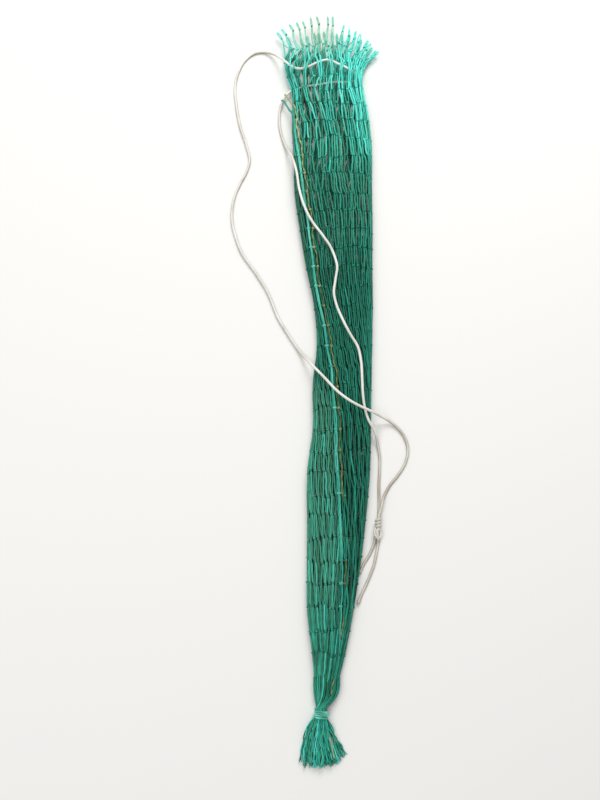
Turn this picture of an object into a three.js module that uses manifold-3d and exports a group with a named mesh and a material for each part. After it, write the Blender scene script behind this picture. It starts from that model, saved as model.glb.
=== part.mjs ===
// Scallop net bag, lying drawn out on a floor: a knotted net tube with pointed loops round its mouth,
// gathered and tied at the tail, and a drawstring threaded through the mouth and knotted beside the bag.
// Millimetres, +Z up, floor at z = 0, mouth towards +Y. The origin is under the middle of the bag.
import * as THREE from 'three';
import { mergeVertices } from 'three/addons/utils/BufferGeometryUtils.js';
import Module from 'manifold-3d';

const wasm = await Module();
wasm.setup();

// Net: the real twine has a knot every BAR, and the solid net is cut at twice that pitch
const BAR = 25;
const ROW_STEP = 2 * BAR;
const MESHES_ROUND = 16;
const SHOULDER_Y = -396;
const NECK_R = 4.9;
const NECK_TOP_Y = -397.2;
const NECK_END_Y = -402.2;
const WALL = 2.5;
const STRAND_HALF = 1.4;
const KNOT_HALF = 1.7;
const KNOT_RISE = 1.3;
const KNOT_REACH = 0.1;
const KNOT_LOWEST_FACING = -0.2;
const MESH_END_SHARE = [0.15, 0.45];
const LOOP_END = 2;
const FIRST_CUT_ROW = 3;
const CLOSED_MESH_SINK = 0.6;
const DOME = 0.25;
const FAN_CURVE = 1.5;
const TINY = 1e-6;

// How far a knot strays from its place in the even net, as waves over the columns and rows
const SWAY_X = { reach: 0.7, perColumn: 2.3, perRow: 1.7 };
const SWAY_Y = { reach: 1.6, perColumn: 1.9, perRow: 2.6 };

// Tie and brush at the gathered tail
const NECK_X = -12;
const NECK_Z = 6.9;
const TIE_Y = -403.1;
const TIE_TURNS = 4;
const TIE_TWINE = 2.6;
const TIE_INNER_R = 5.5;
const TIE_VALLEY_R = 6.1;
const TIE_CREST_R = 6.8;
const TIE_GROOVE = 0.02;
const TIE_CREST_FROM = 0.3;
const TIE_SIDES = 20;
const BRUSH_ROOT_Y = -402.5;
const BRUSH_HEAD_R = 4.9;
const BRUSH_HEAD_LENGTH = 8;
const BRUSH_HEAD_SIDES = 16;
const BRUSH_ROOT_SINK = 1.5;
const BRUSH_TIP_Y = -454.6;
const BRUSH_TIP_ARC = { left: 7, right: 13 };
const BRUSH_STRAND_HALF = 0.5;
const BRUSH_FLOOR_GAP = 0.3;
const BRUSH_LAYER_RISE = 1.25;
const BRUSH_BEND_SHARE = 0.55;
const BRUSH_SAG = 0.4;

// Uneven cutting of the brush, as a wave over the strands and layers that is smaller in its middle
const BRUSH_RAGGED = { reach: 3, perStrand: 2.7, perLayer: 1.9, evenMiddle: 0.6 };

// Twines and cord
const GAP = 0.4;
const LACING_D = 2;
const SELVEDGE_D = 2.6;
const CORD_D = 3;
const CORD_SIDES = 8;
const ARM_STEP = 18.5;
const MOUTH_STEP = 9.5;
const END_STEP = 10;
const SEAM_STEP = 25;
const KNOT_X = 51.5;
const KNOT_Z = 5.2;
const KNOT_TOP_Y = -196.6;
const KNOT_LENGTH = 26;
const KNOT_SIDES = 12;

// Cross-sections of the tube, one for each row of knots from the neck to the tips of the mouth loops:
// left and right edge, crown height, lift off the floor, and how far the row droops at its two edges
const section = (left, right, height, lift = 0, dropLeft = 0, dropRight = 0) =>
  ({ left, right, height, lift, dropLeft, dropRight });
const SECTIONS = [
  section(-17.4, -1.2, 11.6, 0.9),
  section(-21, 13.6, 13),
  section(-26.6, 24.3, 14),
  section(-26.7, 33, 14),
  section(-26.5, 39.8, 14),
  section(-26.3, 45.2, 14),
  section(-20, 47.2, 14),
  section(-19.7, 48.9, 14),
  section(-14.7, 51, 14),
  section(-18, 52.7, 14),
  section(-27.4, 53.3, 14.5),
  section(-34.8, 54.6, 14.5),
  section(-41, 54.8, 14.5),
  section(-42, 56, 14.5),
  section(-45.4, 53.4, 15),
  section(-50, 46.4, 15),
  section(-56, 50.5, 15, 0, 8, 26),
  section(-62.6, 63.6, 15, 0, 25, 58),
];
const TIP_ROW = SECTIONS.length - 1;

// Drawstring routes along the middle of the cord: x, y, z
const OUTER_ARM = [
  [53, -195.9, 6.5], [56, -186, 5.9], [60, -172, 3.5], [67, -160, 1.9], [76, -149, 1.8], [85, -134, 1.8],
  [88, -121, 1.8], [86, -109, 1.8], [79, -97, 1.8], [69, -88.5, 3.5], [57, -83.5, 11.4], [45, -79.5, 19.7],
  [33, -74, 20.6], [23, -68, 20], [11, -59, 20.3], [-8, -38, 18.9], [-20, -23, 12.5], [-31, -8, 3.9],
  [-47, 17, 1.8], [-58, 36, 1.8], [-73, 73, 1.8], [-86, 95, 1.8], [-105, 125, 1.8], [-111, 142, 1.8],
  [-116, 164, 1.8], [-113, 199, 1.8], [-107, 215, 1.8], [-100, 230, 1.8], [-96, 246, 1.8], [-100, 267, 1.8],
  [-108, 293, 1.8], [-114, 326, 1.8], [-116, 354, 1.8], [-112, 375, 1.8], [-103, 393, 1.8], [-90, 403, 1.8],
  [-79, 404, 2.1], [-68, 399, 5], [-58.5, 388, 12], [-50, 377, 17],
];
const MOUTH_STRETCH = [
  [-49.4, 376.2, 17.2], [-43, 370, 18.5], [-34, 367, 18.7], [-23, 370, 18.7], [-12, 376, 18.7],
  [1, 380, 18.7], [15, 374, 18.7], [26.8, 367.5, 18.7], [35, 363, 16.7], [38.5, 360, 12.5], [37, 358, 8.1],
  [29.8, 357.5, 5.1], [20, 357.5, 4.5], [8, 357, 4.5], [-3, 355, 4.5], [-20, 352, 4.5], [-30, 349.3, 5.2],
  [-38, 346.5, 6.2], [-44.6, 343, 6.8],
];
const INNER_ARM = [
  [-45.5, 342.3, 6.8], [-50.5, 337, 6.9], [-55.5, 328.5, 5], [-59, 316, 2.1], [-59.5, 301, 1.8],
  [-56, 280, 1.8], [-49.5, 261, 4.3], [-43.5, 246, 12], [-38, 224, 16.9], [-34, 196, 18.7],
  [-28, 174, 19.5], [-19, 154, 20.7], [-7, 137, 19.1], [2, 123, 18.5], [8, 107, 18.5], [10, 98, 18.5],
  [8, 80, 18.3], [6, 63, 18.1], [9, 48, 17.9], [15, 32, 17.9], [24, 13, 17.7], [33, -4, 17.5],
  [36, -20, 17.1], [37, -44, 16.7], [37.5, -58, 16.3], [39, -73, 15.9], [43, -88, 14.9], [51, -102, 8.6],
  [54, -115, 2.9], [56, -129, 1.8], [55.4, -145, 1.8], [54.4, -159, 1.8], [54, -177, 1.8], [53, -195.9, 2],
];
const END_A = [[48, -223, 1.9], [43, -235.5, 1.8], [34.5, -249.5, 1.8], [31.5, -257, 1.8]];
const END_B = [
  [52, -223, 1.9], [49.5, -237, 1.8], [46.5, -249, 1.8], [42.5, -259, 1.8], [38, -269, 1.8],
  [32.5, -280, 1.8], [28.5, -290, 1.8],
];

// Seam twines on the upper side of the net: x, y, and their height comes from the net under them
const LACING = [
  [-40, 307], [-37.5, 290], [-34, 270], [-30, 240], [-27, 215], [-24, 190], [-19.5, 160], [-18, 140],
  [-14.5, 112], [-12, 85], [-7, 56], [-1, 24], [3, -6], [7.5, -30], [8, -50], [10.5, -76],
  [11.5, -104], [11, -130], [13, -160], [14.5, -200], [15.5, -240], [15, -270], [13, -300], [10, -330],
  [5, -358], [-2, -382],
];
const SELVEDGE = [
  [-39, 273], [-34.5, 242], [-31.5, 216], [-28.5, 186], [-24.5, 160], [-22.5, 138], [-19, 112], [-16.5, 86],
  [-11.5, 54], [-5.5, 24], [-2, -6], [2.5, -30], [3.5, -52], [5.5, -76], [6.5, -104], [6.5, -130],
  [8.5, -160], [10, -200], [11, -240], [10.5, -270], [8.5, -300], [6, -326],
];

function twine(name, color, roughness) {
  return new THREE.MeshStandardMaterial({ name, color, roughness, metalness: 0 });
}

const NET_TWINE = twine('net_twine', 0x1f8f74, 0.55);
const SELVEDGE_TWINE = twine('selvedge_twine', 0x2fb79a, 0.5);
const LACING_TWINE = twine('lacing_twine', 0x9a8434, 0.6);
const CORD_IVORY = twine('cord_ivory', 0xe6dfd2, 0.7);

// A point of a flat-bottomed oval and its outward normal. t runs from the left edge over the crown to the
// right edge at one half, and back along the floor.
function oval(t, halfWidth, height) {
  const radius = height / (2 + DOME);
  const quarter = Math.PI * radius / 2;
  const flat = 2 * (halfWidth - radius);
  const upper = t <= 0.5;
  const along = 2 * (upper ? t : 1 - t) * (2 * quarter + flat);
  let x = along - quarter - flat / 2;
  let normalX = 0;
  if (along < quarter) {
    normalX = -Math.cos(along / radius);
    x = -flat / 2 + radius * normalX;
  } else if (along > quarter + flat) {
    normalX = Math.sin((along - quarter - flat) / radius);
    x = flat / 2 + radius * normalX;
  }
  const rise = Math.sqrt(Math.max(0, 1 - normalX * normalX));
  const dome = 1 + DOME * (1 - (x / halfWidth) ** 2);
  const z = upper ? radius + radius * rise * dome : radius - radius * rise;
  return { x, z, normalX, normalZ: upper ? rise : -rise };
}

const sway = ({ reach, perColumn, perRow }, row, column) =>
  reach * Math.sin(perColumn * column + perRow * row);

// The net around one knot: the outer wall, the inner wall, the raised knot, and the level of the mesh's edge
function netPoint(row, column) {
  const { left, right, height, lift, dropLeft, dropRight } = SECTIONS[row];
  const halfWidth = (right - left) / 2;
  const at = oval((column + (row % 2) / 2) / MESHES_ROUND, halfWidth, height);
  const side = at.x / halfWidth;
  const drop = (side < 0 ? dropLeft : dropRight) * Math.abs(side) ** FAN_CURVE;
  const loose = row > 1 ? 1 : 0;
  const outer = new THREE.Vector3(
    (left + right) / 2 + at.x + loose * sway(SWAY_X, row, column),
    SHOULDER_Y + row * ROW_STEP - drop + loose * sway(SWAY_Y, row, column),
    lift + at.z,
  );
  const normal = new THREE.Vector3(at.normalX, 0, at.normalZ);
  const inner = outer.clone().addScaledVector(normal, -WALL);
  const resting = outer.z < TINY;
  const rise = row > 0 && at.normalZ > KNOT_LOWEST_FACING ? KNOT_RISE : 0;
  return {
    outer,
    inner,
    resting,
    knot: outer.clone().addScaledVector(normal, rise),
    edge: resting ? outer.clone() : outer.clone().lerp(inner, 0.5),
  };
}

// Height of the net's upper side at a place, knots included
function netTop(x, y) {
  const row = THREE.MathUtils.clamp((y - SHOULDER_Y) / ROW_STEP, 0, TIP_ROW - TINY);
  const low = SECTIONS[Math.floor(row)];
  const high = SECTIONS[Math.floor(row) + 1];
  const mix = (key) => THREE.MathUtils.lerp(low[key], high[key], row % 1);
  const halfWidth = (mix('right') - mix('left')) / 2;
  const radius = mix('height') / (2 + DOME);
  const offset = Math.abs(x - (mix('left') + mix('right')) / 2);
  const past = Math.min(1, Math.max(0, offset - (halfWidth - radius)) / radius);
  const dome = 1 + DOME * (1 - Math.min(1, offset / halfWidth) ** 2);
  return mix('lift') + radius + radius * Math.sqrt(1 - past * past) * dome + KNOT_RISE;
}

// The net tube as one closed wall. Each strand has a ridge along its outer side and one along its inner side,
// and the edges of the meshes are shared by both sides.
function netBag() {
  const positions = [];
  const triangles = [];
  const add = (point) => positions.push(point.x, point.y, point.z) / 3 - 1;
  const wrap = (column) => (column + MESHES_ROUND) % MESHES_ROUND;
  const columns = [...Array(MESHES_ROUND).keys()];

  const knots = SECTIONS.map((_, row) => columns.map((column) => {
    const point = netPoint(row, column);
    const hollow = row >= FIRST_CUT_ROW - 1;
    return { ...point, row, column, out: add(point.knot), in: hollow ? add(point.inner) : -1 };
  }));
  const knotAt = (row, column) => knots[row][wrap(column)];
  const upLeft = (knot) => knotAt(knot.row + 1, knot.column - 1 + knot.row % 2);
  const upRight = (knot) => knotAt(knot.row + 1, knot.column + knot.row % 2);

  // A strand's outer ridge from its lower to its upper knot, which slopes down from both knots
  const ridges = new Map();
  function ridge(lower, upper) {
    const key = `${lower.out}-${upper.out}`;
    if (!ridges.has(key)) {
      const plain = lower.row === 0 || (lower.resting && upper.resting);
      const slope = (share) => add(lower.outer.clone().lerp(upper.outer, share));
      const between = plain ? [] : [slope(KNOT_REACH), slope(1 - KNOT_REACH)];
      ridges.set(key, [lower.out, ...between, upper.out]);
    }
    return ridges.get(key);
  }
  const downRidge = (lower, upper) => [...ridge(lower, upper)].reverse();

  // Fill the strip between a row of points and a second row on its left, along the shorter diagonals
  const pointAt = (index) => new THREE.Vector3().fromArray(positions, 3 * index);
  const apart = (a, b) => pointAt(a).distanceToSquared(pointAt(b));
  function strip(first, second, facesIn = false) {
    const face = (a, b, c) => triangles.push(...(facesIn ? [a, c, b] : [a, b, c]));
    let i = 0;
    let j = 0;
    while (i < first.length - 1 || j < second.length - 1) {
      const takeFirst = j === second.length - 1
        || (i < first.length - 1 && apart(first[i + 1], second[j]) <= apart(second[j + 1], first[i]));
      if (takeFirst) face(first[i], first[i + 1], second[j]);
      else face(first[i], second[j + 1], second[j]);
      if (takeFirst) i += 1;
      else j += 1;
    }
  }

  // The pointed end of a mesh above or below a knot, and the side corner of a mesh beside a knot
  const width = (left, right) => left.edge.distanceTo(right.edge);
  function meshEnd(knot, left, right) {
    const share = THREE.MathUtils.clamp(2 * STRAND_HALF / width(left, right), ...MESH_END_SHARE);
    return add(knot.edge.clone().lerp(left.edge.clone().lerp(right.edge, 0.5), share));
  }
  const meshSide = (knot, across) =>
    add(knot.edge.clone().lerp(across.edge, KNOT_HALF / width(knot, across)));

  // One mesh between four knots: cut through, or closed and a little sunk near the tail
  function mesh(row, column) {
    const left = knotAt(row, column);
    const right = knotAt(row, column + 1);
    const below = knotAt(row - 1, column + row % 2);
    const above = knotAt(row + 1, column + row % 2);
    const sides = [
      [ridge(below, right), below, right],
      [ridge(right, above), right, above],
      [downRidge(left, above), above, left],
      [downRidge(below, left), left, below],
    ];
    if (row < FIRST_CUT_ROW) {
      const middle = left.outer.clone().lerp(right.outer, 0.5);
      if (!(left.resting && right.resting)) {
        middle.lerp(left.inner.clone().lerp(right.inner, 0.5), CLOSED_MESH_SINK / WALL);
      }
      const centre = add(middle);
      for (const [outline] of sides) strip(outline, [centre]);
      return;
    }
    const ends = new Map([
      [below, meshEnd(below, left, right)],
      [right, meshSide(right, left)],
      [above, meshEnd(above, left, right)],
      [left, meshSide(left, right)],
    ]);
    for (const [outline, from, to] of sides) {
      const hole = [ends.get(from), ends.get(to)];
      strip(outline, hole);
      strip([from.in, to.in], hole, true);
    }
  }
  for (let row = 1; row < TIP_ROW; row += 1) {
    for (const column of columns) mesh(row, column);
  }

  // The free sides of the mouth loops, from the notch between two loops up to each loop's tip
  const notches = knots[TIP_ROW - 1].map((knot) => meshEnd(knot, upLeft(knot), upRight(knot)));
  for (const column of columns) {
    const left = knotAt(TIP_ROW - 1, column);
    const right = knotAt(TIP_ROW - 1, column + 1);
    const tip = upRight(left);
    const across = right.edge.clone().sub(left.edge).setLength(STRAND_HALF);
    const ahead = tip.edge.clone().sub(left.edge.clone().lerp(right.edge, 0.5)).setLength(LOOP_END);
    const end = add(tip.edge.clone().add(ahead));
    const leftEdge = [notches[left.column], add(tip.edge.clone().sub(across)), end];
    const rightEdge = [notches[right.column], add(tip.edge.clone().add(across)), end];
    strip(ridge(left, tip), leftEdge);
    strip([left.in, tip.in], leftEdge, true);
    strip(downRidge(right, tip), [...rightEdge].reverse());
    strip([tip.in, right.in], [...rightEdge].reverse(), true);
  }

  // The round neck inside the tie with its flat end, and the closed end of the hollow above it
  const neckAxis = (y) => new THREE.Vector3(NECK_X, y, NECK_Z);
  const neckRing = (y) => knots[0].map((knot) => {
    const spoke = knot.outer.clone().sub(neckAxis(knot.outer.y)).setLength(NECK_R);
    return add(spoke.add(neckAxis(y)));
  });
  const rings = [knots[0].map((knot) => knot.out), neckRing(NECK_TOP_Y), neckRing(NECK_END_Y)];
  const neckEnd = add(neckAxis(NECK_END_Y));
  for (const left of knots[0]) {
    const right = knotAt(0, left.column + 1);
    triangles.push(left.out, right.out, upRight(left).out);
    for (const [high, low] of [[rings[0], rings[1]], [rings[1], rings[2]]]) {
      triangles.push(low[left.column], low[right.column], high[right.column]);
      triangles.push(low[left.column], high[right.column], high[left.column]);
    }
    triangles.push(rings[2][right.column], rings[2][left.column], neckEnd);
  }
  const closing = knots[FIRST_CUT_ROW - 1];
  const hollowEnd = new THREE.Vector3();
  for (const knot of closing) hollowEnd.addScaledVector(knot.inner, 1 / MESHES_ROUND);
  const hollow = add(hollowEnd);
  for (const knot of closing) {
    triangles.push(knot.in, upRight(knot).in, hollow, upLeft(knot).in, knot.in, hollow);
  }

  const geometry = new THREE.BufferGeometry();
  geometry.setAttribute('position', new THREE.Float32BufferAttribute(positions, 3));
  geometry.setIndex(triangles);
  return geometry;
}

// A round cord or twine along a smooth curve through its route, in steps of about the given length
function cord(route, diameter, step) {
  const ring = [...Array(CORD_SIDES).keys()].map((side) => {
    const angle = 2 * Math.PI * side / CORD_SIDES;
    return new THREE.Vector2(Math.cos(angle), Math.sin(angle)).multiplyScalar(diameter / 2);
  });
  const extrudePath = new THREE.CatmullRomCurve3(route.map((point) => new THREE.Vector3(...point)));
  const steps = Math.round(extrudePath.getLength() / step);
  return new THREE.ExtrudeGeometry(new THREE.Shape(ring), { steps, extrudePath, bevelEnabled: false });
}

const onNet = (route, diameter) => route.map(([x, y]) => [x, y, netTop(x, y) + diameter / 2 + GAP]);

// The tie: one ring with a ridge for each turn of twine
function tailTie() {
  const half = TIE_TURNS * TIE_TWINE / 2;
  const profile = [new THREE.Vector2(TIE_INNER_R, half), new THREE.Vector2(TIE_INNER_R, -half)];
  for (let turn = 0; turn < TIE_TURNS; turn += 1) {
    const start = -half + turn * TIE_TWINE;
    profile.push(new THREE.Vector2(TIE_VALLEY_R, start + TIE_GROOVE));
    profile.push(new THREE.Vector2(TIE_CREST_R, start + TIE_CREST_FROM * TIE_TWINE));
    profile.push(new THREE.Vector2(TIE_CREST_R, start + (1 - TIE_CREST_FROM) * TIE_TWINE));
  }
  profile.push(new THREE.Vector2(TIE_VALLEY_R, half - TIE_GROOVE), profile[0].clone());
  return new THREE.LatheGeometry(profile, TIE_SIDES);
}

function solid(geometry) {
  const bare = geometry.clone();
  bare.deleteAttribute('normal');
  bare.deleteAttribute('uv');
  const merged = mergeVertices(bare);
  return new wasm.Manifold(new wasm.Mesh({
    numProp: 3,
    vertProperties: new Float32Array(merged.attributes.position.array),
    triVerts: new Uint32Array(merged.index.array),
  }));
}

function meshOf(manifold) {
  const { vertProperties, triVerts } = manifold.getMesh();
  const geometry = new THREE.BufferGeometry();
  geometry.setAttribute('position', new THREE.BufferAttribute(new Float32Array(vertProperties), 3));
  geometry.setIndex(new THREE.BufferAttribute(new Uint32Array(triVerts), 1));
  return geometry;
}

// A four-sided strand through three places, square across X and Z
function brushStrand(places) {
  const corners = [[-1, -1], [1, -1], [1, 1], [-1, 1]];
  const positions = places.flatMap((place) => corners.flatMap(([x, z]) =>
    [place.x + x * BRUSH_STRAND_HALF, place.y, place.z + z * BRUSH_STRAND_HALF]));
  const triangles = [0, 2, 1, 0, 3, 2];
  for (let station = 0; station < places.length - 1; station += 1) {
    for (let corner = 0; corner < 4; corner += 1) {
      const a = 4 * station + corner;
      const b = 4 * station + (corner + 1) % 4;
      triangles.push(a, b, b + 4, a, b + 4, a + 4);
    }
  }
  const last = 4 * (places.length - 1);
  triangles.push(last, last + 1, last + 2, last, last + 2, last + 3);
  const geometry = new THREE.BufferGeometry();
  geometry.setAttribute('position', new THREE.Float32BufferAttribute(positions, 3));
  geometry.setIndex(triangles);
  return geometry;
}

// Layers of the brush from the floor up: height in the head, strands, and where their tips spread to
const BRUSH_LAYERS = [
  { root: -3.4, strands: 9, tipLeft: -32, tipRight: 10 },
  { root: -1.7, strands: 10, tipLeft: -33, tipRight: 11.5 },
  { root: 0, strands: 10, tipLeft: -31, tipRight: 9 },
  { root: 1.7, strands: 9, tipLeft: -28, tipRight: 6 },
  { root: 3.4, strands: 7, tipLeft: -23, tipRight: 1 },
];

// Cut strand ends that fan out over the floor from a round head behind the tie
function tailBrush() {
  const head = new THREE.CylinderGeometry(BRUSH_HEAD_R, BRUSH_HEAD_R, BRUSH_HEAD_LENGTH, BRUSH_HEAD_SIDES);
  head.translate(NECK_X, BRUSH_ROOT_Y - GAP - BRUSH_HEAD_LENGTH / 2, NECK_Z);
  const rootY = BRUSH_ROOT_Y - BRUSH_HEAD_LENGTH + BRUSH_ROOT_SINK;
  const ragged = (strand, layer) => BRUSH_RAGGED.reach
    * (1 + Math.sin(BRUSH_RAGGED.perStrand * strand + BRUSH_RAGGED.perLayer * layer));
  let brush = solid(head);
  BRUSH_LAYERS.forEach(({ root, strands, tipLeft, tipRight }, layer) => {
    const reach = Math.sqrt(BRUSH_HEAD_R ** 2 - root ** 2) - 2 * BRUSH_STRAND_HALF;
    for (let strand = 0; strand < strands; strand += 1) {
      const across = strand / (strands - 1);
      const bow = 1 - (2 * across - 1) ** 2;
      const arc = across < 0.5 ? BRUSH_TIP_ARC.left : BRUSH_TIP_ARC.right;
      const start = new THREE.Vector3(NECK_X + (2 * across - 1) * reach, rootY, NECK_Z + root);
      const end = new THREE.Vector3(
        tipLeft + across * (tipRight - tipLeft),
        BRUSH_TIP_Y + arc * (1 - bow) + ragged(strand, layer) * (1 - BRUSH_RAGGED.evenMiddle * bow),
        BRUSH_STRAND_HALF + BRUSH_FLOOR_GAP + layer * BRUSH_LAYER_RISE,
      );
      const middle = start.clone().lerp(end, BRUSH_BEND_SHARE);
      middle.z = Math.max(end.z, middle.z - BRUSH_SAG);
      brush = brush.add(solid(brushStrand([start, middle, end])));
    }
  });
  return meshOf(brush);
}

// Radius of the drawstring's knot along its length: a small bight above and a fuller one below
const KNOT_RADII = [
  [0, 0], [2.6, 0.01], [4.1, 0.1], [4.3, 0.25], [3.4, 0.4],
  [4.7, 0.55], [4.8, 0.75], [4, 0.9], [2.4, 0.99], [0, 1],
];

// The knot: a lumpy barrel of two bights of cord, drawn tight
function drawstringKnot() {
  const profile = KNOT_RADII.map(([radius, share]) => new THREE.Vector2(radius, -KNOT_LENGTH * share));
  return new THREE.LatheGeometry(profile.reverse(), KNOT_SIDES);
}

const bag = new THREE.Group();
bag.name = 'scallop_net_bag';

function place(name, geometry, material, x = 0, y = 0, z = 0) {
  const mesh = new THREE.Mesh(geometry, material);
  mesh.name = name;
  mesh.position.set(x, y, z);
  bag.add(mesh);
}

place('net_bag', netBag(), NET_TWINE);
place('seam_selvedge', cord(onNet(SELVEDGE, SELVEDGE_D), SELVEDGE_D, SEAM_STEP), SELVEDGE_TWINE);
place('seam_lacing', cord(onNet(LACING, LACING_D), LACING_D, SEAM_STEP), LACING_TWINE);
place('tail_tie', tailTie(), SELVEDGE_TWINE, NECK_X, TIE_Y, NECK_Z);
place('tail_brush', tailBrush(), NET_TWINE);
place('drawstring_outer', cord(OUTER_ARM, CORD_D, ARM_STEP), CORD_IVORY);
place('drawstring_mouth', cord(MOUTH_STRETCH, CORD_D, MOUTH_STEP), CORD_IVORY);
place('drawstring_inner', cord(INNER_ARM, CORD_D, ARM_STEP), CORD_IVORY);
place('drawstring_knot', drawstringKnot(), CORD_IVORY, KNOT_X, KNOT_TOP_Y, KNOT_Z);
place('drawstring_end_a', cord(END_A, CORD_D, END_STEP), CORD_IVORY);
place('drawstring_end_b', cord(END_B, CORD_D, END_STEP), CORD_IVORY);

export default bag;
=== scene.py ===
# Scallop net bag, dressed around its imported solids: a knotted twine net lying drawn out on a floor, gathered
# and tied at the tail, laced along a seam, with an ivory drawstring threaded round its open mouth.
# Metres, floor at z = 0, mouth towards +Y.
import math

import bpy
import numpy as np
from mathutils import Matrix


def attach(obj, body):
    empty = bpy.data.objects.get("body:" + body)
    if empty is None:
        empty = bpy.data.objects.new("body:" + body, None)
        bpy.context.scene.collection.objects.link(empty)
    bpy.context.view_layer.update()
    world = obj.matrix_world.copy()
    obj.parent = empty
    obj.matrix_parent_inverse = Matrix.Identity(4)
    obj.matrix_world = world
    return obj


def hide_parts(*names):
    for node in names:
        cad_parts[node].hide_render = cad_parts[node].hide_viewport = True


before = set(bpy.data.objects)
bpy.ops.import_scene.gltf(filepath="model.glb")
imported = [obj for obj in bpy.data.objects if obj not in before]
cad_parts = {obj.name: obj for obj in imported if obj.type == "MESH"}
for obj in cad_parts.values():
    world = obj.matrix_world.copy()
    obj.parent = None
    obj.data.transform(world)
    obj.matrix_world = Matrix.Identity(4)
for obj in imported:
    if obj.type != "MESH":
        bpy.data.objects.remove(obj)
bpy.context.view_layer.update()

MM = 0.001
TURN = 2 * np.pi
UP = np.array([0.0, 0.0, 1.0])
rng = np.random.default_rng(24)
brush_rng = np.random.default_rng(8)

# Drawstring routes along the middle of the cord, as in the solids: x, y, z in millimetres
CORD_R = 1.5 * MM
OUTER_ARM = [
    [53, -195.9, 6.5], [56, -186, 5.9], [60, -172, 3.5], [67, -160, 1.9], [76, -149, 1.8], [85, -134, 1.8],
    [88, -121, 1.8], [86, -109, 1.8], [79, -97, 1.8], [69, -88.5, 3.5], [57, -83.5, 11.4], [45, -79.5, 19.7],
    [33, -74, 20.6], [23, -68, 20], [11, -59, 20.3], [-8, -38, 18.9], [-20, -23, 12.5], [-31, -8, 3.9],
    [-47, 17, 1.8], [-58, 36, 1.8], [-73, 73, 1.8], [-86, 95, 1.8], [-105, 125, 1.8], [-111, 142, 1.8],
    [-116, 164, 1.8], [-113, 199, 1.8], [-107, 215, 1.8], [-100, 230, 1.8], [-96, 246, 1.8],
    [-100, 267, 1.8], [-108, 293, 1.8], [-114, 326, 1.8], [-116, 354, 1.8], [-112, 375, 1.8],
    [-103, 393, 1.8], [-90, 403, 1.8], [-79, 404, 2.1], [-68, 399, 5], [-58.5, 388, 12], [-50, 377, 17],
]
MOUTH_UPPER = [
    [-43, 370, 18.5], [-34, 367, 18.7], [-23, 370, 18.7], [-12, 376, 18.7], [1, 380, 18.7], [15, 374, 18.7],
    [26.8, 367.5, 18.7], [35, 363, 16.7], [38.5, 360, 12.5],
]
MOUTH_LOWER = [
    [38.5, 360, 12.5], [37, 358, 8.1], [29.8, 357.5, 5.1], [20, 357.5, 4.5], [8, 357, 4.5], [-3, 355, 4.5],
    [-20, 352, 4.5], [-30, 349.3, 5.2], [-38, 346.5, 6.2], [-45, 342.7, 6.8],
]
INNER_ARM = [
    [-50.5, 337, 6.9], [-55.5, 328.5, 5], [-59, 316, 2.1], [-59.5, 301, 1.8], [-56, 280, 1.8],
    [-49.5, 261, 4.3], [-43.5, 246, 12], [-38, 224, 16.9], [-34, 196, 18.7], [-28, 174, 19.5],
    [-19, 154, 20.7], [-7, 137, 19.1], [2, 123, 18.5], [8, 107, 18.5], [10, 98, 18.5], [8, 80, 18.3],
    [6, 63, 18.1], [9, 48, 17.9], [15, 32, 17.9], [24, 13, 17.7], [33, -4, 17.5], [36, -20, 17.1],
    [37, -44, 16.7], [37.5, -58, 16.3], [39, -73, 15.9], [43, -88, 14.9], [51, -102, 8.6], [54, -115, 2.9],
    [56, -129, 1.8], [55.4, -145, 1.8], [54.4, -159, 1.8], [54, -177, 1.8], [53, -195.9, 2],
]
OUTER_IN_KNOT = [[52.2, -205, 6.4], [52, -214, 5.2]]
INNER_IN_KNOT = [[51.2, -206, 3.2], [49.6, -215, 2.8]]
END_A = [[48, -223, 1.9], [43, -235.5, 1.8], [34.5, -249.5, 1.8], [31.5, -257, 1.8]]
END_B = [
    [52, -223, 1.9], [49.5, -237, 1.8], [46.5, -249, 1.8], [42.5, -259, 1.8], [38, -269, 1.8],
    [32.5, -280, 1.8], [28.5, -290, 1.8],
]

# Seam twines on the upper side of the net: x and y in millimetres. The edge strand starts at the drawstring.
LACING = MM * np.array([
    [-43, 317], [-40, 307], [-37.5, 290], [-34, 270], [-30, 240], [-27, 215], [-24, 190], [-19.5, 160],
    [-18, 140], [-14.5, 112], [-12, 85], [-7, 56], [-1, 24], [3, -6], [7.5, -30], [8, -50], [10.5, -76],
    [11.5, -104], [11, -130], [13, -160], [14.5, -200], [15.5, -240], [15, -270], [13, -300], [10, -330],
    [5, -358], [-2, -382],
])
SELVEDGE = MM * np.array([
    [-56.5, 330.6], [-54.5, 328.5], [-51.4, 323], [-46.2, 313], [-41.8, 302], [-40.3, 290], [-39, 273],
    [-34.5, 242], [-31.5, 216], [-28.5, 186], [-24.5, 160], [-22.5, 138], [-19, 112], [-16.5, 86],
    [-11.5, 54], [-5.5, 24], [-2, -6], [2.5, -30], [3.5, -52], [5.5, -76], [6.5, -104], [6.5, -130],
    [8.5, -160], [10, -200], [11, -240], [10.5, -270], [9, -300], [7.5, -326], [6.5, -340], [5, -354],
])

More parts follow.
